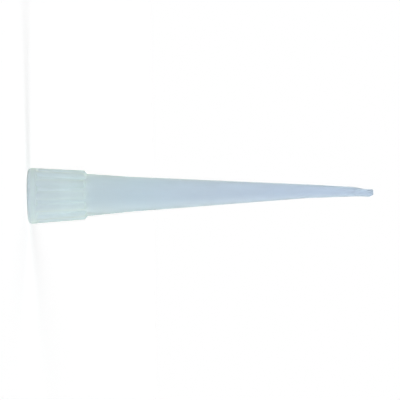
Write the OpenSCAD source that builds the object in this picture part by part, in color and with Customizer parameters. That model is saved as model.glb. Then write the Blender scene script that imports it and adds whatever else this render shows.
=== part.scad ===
// Pipette tip of the 200 microlitre size, moulded in one piece from natural polypropylene.
// It stands on its wide mouth at z = 0 with its point up, and its long axis is Z.
// All sizes are in millimetres. The collar is built outwards from the seat that grips the
// pipette's nozzle: bore, wall, ribs.

/* [Lengths along the axis] */
// Length along the middle of the bore, from the mouth to the end of the point
tip_len = 50.65; // [42:0.05:62]
// Length of the collar, from the mouth to where its ribs have run out
collar_len = 8.65; // [7.2:0.05:10.8]
// Length of the steep shoulder between the collar and the body
shoulder_len = 6.8; // [5.6:0.1:8.4]
// Length of the slender point beyond the body
point_len = 9.7; // [8:0.1:12]

/* [Nozzle seat] */
// Bore of the sealing land, the round ring that grips the nozzle
seal_d = 5.3; // [4.4:0.02:6.4]
// Length of the sealing land
seal_len = 1.1; // [0.6:0.1:2]
// Height of the middle of the sealing land above the mouth
seal_z = 5.6; // [4.6:0.1:6.8]
// How far the tapered seat stands back from the land, at the land's middle
seal_step = 0.11; // [0.05:0.01:0.2]
// Length of the slope on each side of the sealing land
seal_slope = 0.4; // [0.2:0.05:0.8]
// Lean of the seat's wall, in degrees
seat_lean = 2.2; // [1:0.1:3]
// Width of the chamfer that leads the nozzle in
lead_in = 0.24; // [0.1:0.02:0.3]

/* [Collar] */
// Wall of the neck, where the ribs have run out
neck_wall = 0.48; // [0.4:0.02:0.6]
// Lean of the collar's side, in degrees
collar_lean = 3.6; // [2:0.1:5]
// Height of the plain rim band around the mouth
rim_h = 1.26; // [0.9:0.02:2]
// Rounding of the rim's outer edge
rim_round = 0.46; // [0.1:0.02:0.56]
// Height of the sloping step from the rim band down to the grooves
rim_step_h = 0.3; // [0.08:0.02:0.4]

/* [Ribs] */
// Number of ribs around the collar
rib_count = 12; // [6:1:14]
// Width of one rib
rib_w = 1.3; // [0.8:0.02:1.46]
// Height of a rib over the neck, where it starts to run out
rib_h = 0.52; // [0.4:0.02:0.7]
// Height of a rib's rounded crest over its straight flanks
rib_crown = 0.36; // [0.1:0.02:0.4]
// How far the crests lie inside the rim band's taper
rib_inset = 0.02; // [0.01:0.01:0.1]
// Length over which the ribs run out to the neck
rib_runout = 0.46; // [0.2:0.02:1]
// How far a rib's round end would reach past the collar if the rib did not run out
rib_tip = 0.1; // [0.04:0.02:0.3]

/* [Shoulder, body and point] */
// Lean of the shoulder's side, in degrees. The floors between the ribs carry it on
shoulder_lean = 4.8; // [3:0.1:6]
// Wall where the shoulder becomes the body
shoulder_wall = 0.5; // [0.35:0.02:0.7]
// Diameter where the body becomes the point
point_d = 2.02; // [1.6:0.02:2.6]
// Wall where the body becomes the point
point_wall = 0.42; // [0.3:0.02:0.55]
// Diameter of the point just before its nose turns
nose_d = 1.42; // [1.14:0.02:1.66]
// Wall just before the nose turns
nose_wall = 0.38; // [0.28:0.02:0.46]
// Diameter at the very end of the point
end_d = 1.1; // [0.9:0.02:1.34]
// Bore of the orifice at the end of the point
orifice_d = 0.5; // [0.3:0.02:0.6]

/* [Turned nose] */
// Turn where the point leaves the body, in degrees
droop = 1.5; // [0.5:0.1:4]
// Turn of the nose away from the point, in degrees
nose_turn = 5.5; // [2:0.5:15]
// Turn of the very end back again, in degrees
end_turn = 6; // [2:0.5:15]
// Length over which each of these two turns is made
turn_len = 0.4; // [0.2:0.05:0.8]
// Length of the nose between its two turns
nose_len = 1.4; // [0.6:0.1:1.8]
// Length of the very end beyond its turn
end_len = 0.8; // [0.5:0.05:1.2]
// Width of the broken edge around the end face
end_edge = 0.13; // [0.05:0.01:0.16]
// Slope of the bevel on the turned side of the end, in degrees from the axis
bevel_slope = 31; // [20:1:50]
// How far the bevel reaches across the end face
bevel_reach = 0.3; // [0.1:0.02:0.4]

/* [Hidden] */
$fn = 96;
natural_polypropylene = [0.77, 0.84, 0.86];
// How far a cutting shape reaches past what it cuts
over = 1;

// Heights of the stations along the axis
rim_top_z = rim_h + rim_step_h;
runout_z = collar_len - rib_runout;
shoulder_z = collar_len + shoulder_len;
point_z = tip_len - point_len;
seal_low_z = seal_z - seal_len / 2;
seal_high_z = seal_z + seal_len / 2;

// A value that runs evenly from v0 at z0 to v1 at z1
function ramp(z, z0, v0, z1, v1) = v0 + (v1 - v0) * (z - z0) / (z1 - z0);
// Radius of the tapered seat
function seat_r(z) = seal_d / 2 + seal_step + (seal_z - z) * tan(seat_lean);
// Outer radius of the shoulder, and of the floors between the ribs
function shoulder_r(z) = neck_r + (collar_len - z) * tan(shoulder_lean);
// Outer radius of the collar's taper
function collar_r(z) = neck_r + rib_h + (runout_z - z) * tan(collar_lean);

// Radii that the profiles share
neck_r = seat_r(collar_len) + neck_wall;
body_r = shoulder_r(shoulder_z);
point_r = point_d / 2;
nose_r = nose_d / 2;
end_r = end_d / 2;

// The point is five straight pieces in a row, and each starts with a turn
point_lens = [point_len - 2 * turn_len - nose_len - end_len, turn_len, nose_len, turn_len, end_len];
point_turns = [droop, nose_turn / 2, nose_turn / 2, -end_turn / 2, -end_turn / 2];
// How far the ball at each turn stands proud of the pieces that meet there
knuckle = 0.01;

// The rim's rounded edge, tangent to the mouth's face and to the leaning side
rim_round_x = collar_r(0) - rim_round * (tan(collar_lean) + 1 / cos(collar_lean));
rim_edge = [
    for (i = [0:12])
        let (a = -90 + i * (90 + collar_lean) / 12)
            [rim_round_x + rim_round * cos(a), rim_round + rim_round * sin(a)]
];

// Everything of the outside that is round: rim, groove floors, shoulder and body
module round_body() {
    rotate_extrude()
        polygon(concat(
            [[0, 0]],
            rim_edge,
            [
                [collar_r(rim_h), rim_h],
                [shoulder_r(rim_top_z), rim_top_z],
                [body_r, shoulder_z],
                [point_r, point_z],
                [0, point_z]
            ]));
}

// Section across the ribs' crests, with the crest at x = 0. Its straight part is wider than a rib
module crest_section() {
    crest_r = (pow(rib_w / 2, 2) + pow(rib_crown, 2)) / (2 * rib_crown);
    translate([-crest_r, 0]) circle(r = crest_r);
    translate([-crest_r - rib_h, -rib_w]) square([rib_h, 2 * rib_w]);
}

// Outline of one rib seen from outside: straight sides and a round end
module rib_outline() {
    straight = (collar_len + rib_tip) / cos(collar_lean) - rib_w / 2;
    translate([0, -rib_w / 2]) square([straight, rib_w]);
    translate([straight, 0]) circle(r = rib_w / 2);
}

// One rib at +X. It leans with the collar's side
module rib() {
    translate([collar_r(0) - rib_inset, 0, 0])
        rotate([0, -collar_lean, 0])
            intersection() {
                linear_extrude(height = collar_len + over) crest_section();
                translate([over, 0, 0])
                    rotate([0, -90, 0])
                        linear_extrude(height = over + rib_h + neck_wall / 2) rib_outline();
            }
}

// All the ribs, from inside the rim band to their run-out at the neck
module ribs() {
    fall = rib_h / rib_runout;
    reach = collar_r(0) + over;
    intersection() {
        for (i = [0:rib_count - 1])
            rotate([0, 0, i * 360 / rib_count]) rib();
        rotate_extrude()
            polygon([
                [0, rim_h / 2],
                [reach, rim_h / 2],
                [reach, collar_len - (reach - neck_r) / fall],
                [0, collar_len + neck_r / fall]
            ]);
    }
}

// Moves its children to the start of the point's piece i
module at_turn(i) {
    if (i == 0)
        translate([0, 0, point_z]) rotate([0, point_turns[0], 0]) children();
    else
        at_turn(i - 1)
            translate([0, 0, point_lens[i - 1]])
                rotate([0, point_turns[i], 0]) children();
}

// Moves its children to the middle of the end face
module at_end_face() {
    at_turn(len(point_lens) - 1)
        translate([0, 0, end_len]) children();
}

// The point as one run of round bars with a ball at each turn. Its radius goes from first_r
// to turn_r at the nose's first turn, and to last_r at its second. It ends past the end by more
module point_run(first_r, turn_r, last_r, more) {
    mid_r = ramp(turn_len, 0, turn_r, turn_len + nose_len, last_r);
    radii = [first_r, turn_r, mid_r, last_r, last_r, last_r];
    last = len(point_lens) - 1;
    for (i = [0:last])
        at_turn(i) {
            sphere(r = radii[i] + knuckle);
            cylinder(h = point_lens[i] + (i == last ? more : 0), r1 = radii[i], r2 = radii[i + 1]);
        }
}

// The outside of the point, cut square, with its edge broken and a bevel on its turned side
module point() {
    difference() {
        intersection() {
            point_run(point_r, nose_r, end_r, over);
            at_end_face()
                translate([0, 0, -point_len])
                    cylinder(h = point_len, r1 = end_r - end_edge + point_len, r2 = end_r - end_edge);
        }
        at_end_face()
            translate([end_r - bevel_reach, 0, 0])
                rotate([0, -bevel_slope, 0])
                    translate([0, -over, -over])
                        cube([over, 2 * over, 2 * over]);
    }
}

// The hollow: lead-in, tapered seat, sealing land, and the bore to the orifice
module bore() {
    rotate_extrude()
        polygon([
            [0, -over],
            [seat_r(0) + lead_in, -over],
            [seat_r(0) + lead_in, 0],
            [seat_r(lead_in), lead_in],
            [seat_r(seal_low_z - seal_slope), seal_low_z - seal_slope],
            [seal_d / 2, seal_low_z],
            [seal_d / 2, seal_high_z],
            [seat_r(seal_high_z + seal_slope), seal_high_z + seal_slope],
            [seat_r(collar_len), collar_len],
            [body_r - shoulder_wall, shoulder_z],
            [point_r - point_wall, point_z],
            [0, point_z]
        ]);
    point_run(point_r - point_wall, nose_r - nose_wall, orifice_d / 2, over);
}

module pipette_tip() {
    color(natural_polypropylene)
        difference() {
            union() {
                round_body();
                ribs();
                point();
            }
            bore();
        }
}

pipette_tip();
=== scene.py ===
"""A 200 microlitre pipette tip in natural polypropylene, standing on its mouth on a white stage."""
import math

import bpy
from mathutils import Matrix, Vector


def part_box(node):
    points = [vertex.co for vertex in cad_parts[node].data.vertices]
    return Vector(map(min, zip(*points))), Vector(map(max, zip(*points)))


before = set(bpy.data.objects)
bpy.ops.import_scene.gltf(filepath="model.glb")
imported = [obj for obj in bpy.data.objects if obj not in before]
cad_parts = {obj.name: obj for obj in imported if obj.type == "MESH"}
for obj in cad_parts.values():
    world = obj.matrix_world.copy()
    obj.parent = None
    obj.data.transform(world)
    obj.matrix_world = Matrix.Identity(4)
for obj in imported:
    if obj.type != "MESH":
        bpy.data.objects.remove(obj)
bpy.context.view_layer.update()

MM = 0.001
TIP_LOW, TIP_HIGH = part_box("pipette_tip")
TIP_LENGTH = TIP_HIGH.z - TIP_LOW.z

# ---- camera: a third of a metre away on the -Y side, turned so that the tip lies on its side
VIEW_DISTANCE = 336 * MM
VIEW_WIDTH = 58.8 * MM  # what the picture's width takes in at the tip
AXIS_RISE = math.radians(0.96)  # how steeply the tip's axis rises to the right in the picture
AIM = Vector((1.02 * MM, 0, 25.17 * MM))
SENSOR_WIDTH = 36
NEAR_CLIP = 10 * MM
FAR_CLIP = 10

# ---- stage: a round floor, a world that is darker overhead, and broad low suns
FLOOR_RADIUS = 900 * MM
FLOOR_SIDES = 96
FLOOR_WHITE = (0.95, 0.95, 0.95, 1)
FLOOR_LIFT = 0.375  # glow that the eye sees on top of the light that the floor returns
HORIZON_LEVEL = 0.93
ZENITH_LEVEL = 0.22
SUN_WIDTH = math.radians(34)  # angle that each sun covers in the sky
SUN_HEIGHT = math.radians(17)  # angle above the horizon
SUNS = [("right", 90, 1.2), ("left", -30, 0.9), ("back", -150, 0.4)]  # name, azimuth, level

# ---- polypropylene, milky and translucent: greenish where the wall is thick, bluish where it is thin, with painted light at the mouth
TINTS = [  # height above the mouth in mm, colour
    # painted light: the stops at 0 and 0.3 mm are lighter to offset the contact shade where the mouth
    # meets the floor
    (0.0, (0.72, 0.82, 0.98)),
    (0.3, (0.66, 0.77, 0.96)),
    (0.5, (0.57, 0.69, 0.80)),
    (1.0, (0.57, 0.69, 0.80)),
    (1.3, (0.52, 0.62, 0.74)),
    (8.2, (0.52, 0.63, 0.73)),
    (9.4, (0.51, 0.63, 0.77)),
    (16.0, (0.50, 0.63, 0.80)),
    (24.0, (0.49, 0.60, 0.79)),
    (32.0, (0.47, 0.57, 0.77)),
    (41.0, (0.44, 0.54, 0.75)),
    (50.0, (0.42, 0.52, 0.72)),
]
LAND = (5.6, 0.55, 0.45)  # the sealing land inside, in mm: middle, half length, fade
LAND_GLOW = 0.02  # painted glow: share by which the wall's colour is made brighter over the land

# Noise: stretch along x, y and z, lumps per metre, detail
HAZE_NOISE = ((1, 1, 0.4), 420, 3)
STREAK_NOISE = ((1, 1, 0.03), 2600, 2)
NOISE_MIDDLE = 0.5
NOISE_GAIN = 4  # noise stays mostly within a quarter of its middle, and this makes that about one
HAZE = 0.02  # share by which the haze changes the colour
STREAK = 0.012  # share by which the flow lines change the colour

# While the haze runs over its span, the roughness runs over its own
HAZE_SPAN = (0.3, 0.7)
ROUGHNESS_SPAN = (0.5, 0.6)
BUMP_STRENGTH = 0.15
BUMP_DEPTH = 0.01 * MM
PLASTIC_IOR = 1.49

SCATTER = 0.8  # share of the colour that comes from light scattered inside the plastic
SCATTER_RADIUS = (2.8, 3.0, 3.2)  # how far that light spreads in mm, for red, green and blue

# The skin is a thin coat that takes a little blue away, most where the surface is seen at a slant
SKIN_WEIGHT = 1
SKIN_TINT = (1, 1, 0.9, 1)
SKIN_IOR = 1.2
SKIN_ROUGHNESS = 0.8


def new_material(name):
    material = bpy.data.materials.new(name)
    material.use_nodes = True
    return material, material.node_tree.nodes, material.node_tree.links


def smooth(nodes, links, value, start, stop, low=0.0, high=1.0):
    """Eases from low to high while value runs from start to stop."""
    node = nodes.new("ShaderNodeMapRange")
    node.interpolation_type = "SMOOTHSTEP"
    node.inputs["From Min"].default_value = start
    node.inputs["From Max"].default_value = stop
    node.inputs["To Min"].default_value = low
    node.inputs["To Max"].default_value = high
    links.new(value, node.inputs["Value"])
    return node.outputs["Result"]


def span(nodes, links, value, low, high):
    """Runs evenly from low to high while value runs from 0 to 1."""
    node = nodes.new("ShaderNodeMapRange")
    node.inputs["To Min"].default_value = low
    node.inputs["To Max"].default_value = high
    links.new(value, node.inputs["Value"])
    return node.outputs["Result"]


def math_node(nodes, links, operation, a, b):
    node = nodes.new("ShaderNodeMath")
    node.operation = operation
    for socket, value in zip(node.inputs, (a, b)):
        if isinstance(value, (int, float)):
            socket.default_value = value
        else:
            links.new(value, socket)
    return node.outputs[0]


def noise(nodes, links, place, settings):
    """Noise from 0 to 1 about its middle. The place is in metres."""
    stretch, scale, detail = settings
    mapping = nodes.new("ShaderNodeMapping")
    mapping.inputs["Scale"].default_value = stretch
    links.new(place, mapping.inputs["Vector"])
    node = nodes.new("ShaderNodeTexNoise")
    node.inputs["Scale"].default_value = scale
    node.inputs["Detail"].default_value = detail
    links.new(mapping.outputs["Vector"], node.inputs["Vector"])
    return node.outputs["Fac"]


def swing(nodes, links, fac, size):
    """Turns noise into a change of about size either way."""
    offset = math_node(nodes, links, "SUBTRACT", fac, NOISE_MIDDLE)
    return math_node(nodes, links, "MULTIPLY", offset, NOISE_GAIN * size)


def land_glow(nodes, links, height):
    """Painted glow: LAND_GLOW over the sealing land, fading to 0 above and below it."""
    middle, half, fade = (value * MM for value in LAND)
    below = smooth(nodes, links, height, middle - half - fade, middle - half)
    above = smooth(nodes, links, height, middle + half, middle + half + fade, 1, 0)
    inside = math_node(nodes, links, "MULTIPLY", below, above)
    return math_node(nodes, links, "MULTIPLY", inside, LAND_GLOW)


def tint_ramp(nodes, links, height):
    """The colours of TINTS, by height."""
    ramp = nodes.new("ShaderNodeValToRGB")
    links.new(math_node(nodes, links, "DIVIDE", height, TIP_LENGTH), ramp.inputs["Fac"])
    stops = ramp.color_ramp.elements
    while len(stops) < len(TINTS):
        stops.new(0.5)
    for stop, (z, tint) in zip(stops, TINTS):
        stop.position = z * MM / TIP_LENGTH
        stop.color = (*tint, 1)
    return ramp.outputs["Color"]


def polypropylene():
    """Natural polypropylene: milky, hazy, with faint flow lines along the tip, painted light at the
    mouth and a painted glow over the land.
    """
    material, nodes, links = new_material("natural_polypropylene")
    shader = nodes["Principled BSDF"]
    place = nodes.new("ShaderNodeTexCoord").outputs["Object"]
    split = nodes.new("ShaderNodeSeparateXYZ")
    links.new(place, split.inputs[0])
    height = split.outputs["Z"]

    # colour by height, lighter at the mouth as painted light
    colour = tint_ramp(nodes, links, height)
    # painted glow over the sealing land
    glow = land_glow(nodes, links, height)
    haze = noise(nodes, links, place, HAZE_NOISE)
    streak = noise(nodes, links, place, STREAK_NOISE)
    cloud = swing(nodes, links, haze, HAZE)
    lines = swing(nodes, links, streak, STREAK)
    change = math_node(nodes, links, "ADD", cloud, lines)
    change = math_node(nodes, links, "ADD", change, glow)
    tinted = nodes.new("ShaderNodeVectorMath")
    tinted.operation = "SCALE"
    links.new(colour, tinted.inputs[0])
    links.new(math_node(nodes, links, "ADD", change, 1.0), tinted.inputs["Scale"])
    links.new(tinted.outputs[0], shader.inputs["Base Color"])

    links.new(smooth(nodes, links, haze, *HAZE_SPAN, *ROUGHNESS_SPAN), shader.inputs["Roughness"])
    bump = nodes.new("ShaderNodeBump")
    bump.inputs["Strength"].default_value = BUMP_STRENGTH
    bump.inputs["Distance"].default_value = BUMP_DEPTH
    links.new(streak, bump.inputs["Height"])
    links.new(bump.outputs["Normal"], shader.inputs["Normal"])

    shader.inputs["IOR"].default_value = PLASTIC_IOR
    shader.inputs["Coat Weight"].default_value = SKIN_WEIGHT
    shader.inputs["Coat Roughness"].default_value = SKIN_ROUGHNESS
    shader.inputs["Coat IOR"].default_value = SKIN_IOR
    shader.inputs["Coat Tint"].default_value = SKIN_TINT
    shader.subsurface_method = "BURLEY"
    shader.inputs["Subsurface Weight"].default_value = SCATTER
    shader.inputs["Subsurface Radius"].default_value = SCATTER_RADIUS
    shader.inputs["Subsurface Scale"].default_value = MM
    return material


def seen_by_eye(nodes, links):
    """1 for rays from the camera, and for what shows in a reflection or through the plastic."""
    path = nodes.new("ShaderNodeLightPath")
    seen = path.outputs["Is Camera Ray"]
    for name in ("Is Glossy Ray", "Is Transmission Ray"):
        seen = math_node(nodes, links, "MAXIMUM", seen, path.outputs[name])
    return seen


def stage_white():
    """White card. The eye sees it a little lifted, so that it is white up to the horizon and only
    the shadow stays grey."""
    material, nodes, links = new_material("stage_white")
    shader = nodes["Principled BSDF"]
    shader.inputs["Base Color"].default_value = FLOOR_WHITE
    shader.inputs["Roughness"].default_value = 1
    shader.inputs["Specular IOR Level"].default_value = 0
    shader.inputs["Emission Color"].default_value = (1, 1, 1, 1)
    lift = span(nodes, links, seen_by_eye(nodes, links), 0, FLOOR_LIFT)
    links.new(lift, shader.inputs["Emission Strength"])
    return material


def add_floor():
    turns = [2 * math.pi * i / FLOOR_SIDES for i in range(FLOOR_SIDES)]
    ring = [(FLOOR_RADIUS * math.cos(turn), FLOOR_RADIUS * math.sin(turn), 0) for turn in turns]
    mesh = bpy.data.meshes.new("floor")
    mesh.from_pydata(ring, [], [list(range(FLOOR_SIDES))])
    mesh.materials.append(stage_white())
    floor = bpy.data.objects.new("floor", mesh)
    bpy.context.collection.objects.link(floor)


def add_world():
    """The eye sees plain white. The light comes from a sky that is bright low down and dim overhead."""
    world = bpy.data.worlds.new("studio")
    world.use_nodes = True
    nodes, links = world.node_tree.nodes, world.node_tree.links
    background = nodes["Background"]
    background.inputs["Color"].default_value = (1, 1, 1, 1)
    split = nodes.new("ShaderNodeSeparateXYZ")
    links.new(nodes.new("ShaderNodeTexCoord").outputs["Generated"], split.inputs[0])
    light = smooth(nodes, links, split.outputs["Z"], 0, 1, HORIZON_LEVEL, ZENITH_LEVEL)
    level = nodes.new("ShaderNodeMix")
    links.new(span(nodes, links, seen_by_eye(nodes, links), 0, 1), level.inputs["Factor"])
    links.new(light, level.inputs["A"])
    level.inputs["B"].default_value = 1
    links.new(level.outputs["Result"], background.inputs["Strength"])
    bpy.context.scene.world = world


def add_sun(name, azimuth, level):
    """A broad soft light from far away. Azimuth 0 shines from the camera's side, and 90 from +X."""
    sun = bpy.data.lights.new(name, "SUN")
    sun.angle = SUN_WIDTH
    sun.energy = level
    holder = bpy.data.objects.new(name, sun)
    turn = math.radians(azimuth)
    level_way = Vector((math.sin(turn), -math.cos(turn), 0))
    way = level_way * math.cos(SUN_HEIGHT) + Vector((0, 0, math.sin(SUN_HEIGHT)))
    holder.rotation_euler = way.to_track_quat("Z", "Y").to_euler()
    bpy.context.collection.objects.link(holder)


def add_camera():
    lens = bpy.data.cameras.new("camera")
    lens.sensor_width = SENSOR_WIDTH
    lens.lens = SENSOR_WIDTH * VIEW_DISTANCE / VIEW_WIDTH
    lens.clip_start = NEAR_CLIP
    lens.clip_end = FAR_CLIP
    camera = bpy.data.objects.new("camera", lens)
    right = Vector((math.sin(AXIS_RISE), 0, math.cos(AXIS_RISE)))
    up = Vector((-math.cos(AXIS_RISE), 0, math.sin(AXIS_RISE)))
    back = right.cross(up)
    turn = Matrix((right, up, back)).transposed()
    camera.matrix_world = Matrix.Translation(AIM + back * VIEW_DISTANCE) @ turn.to_4x4()
    bpy.context.collection.objects.link(camera)
    bpy.context.scene.camera = camera


add_camera()
add_world()
add_floor()
for name, azimuth, level in SUNS:
    add_sun(name, azimuth, level)

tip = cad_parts["pipette_tip"]
tip.data.materials.clear()
tip.data.materials.append(polypropylene())

bpy.context.scene.view_settings.view_transform = "Standard"
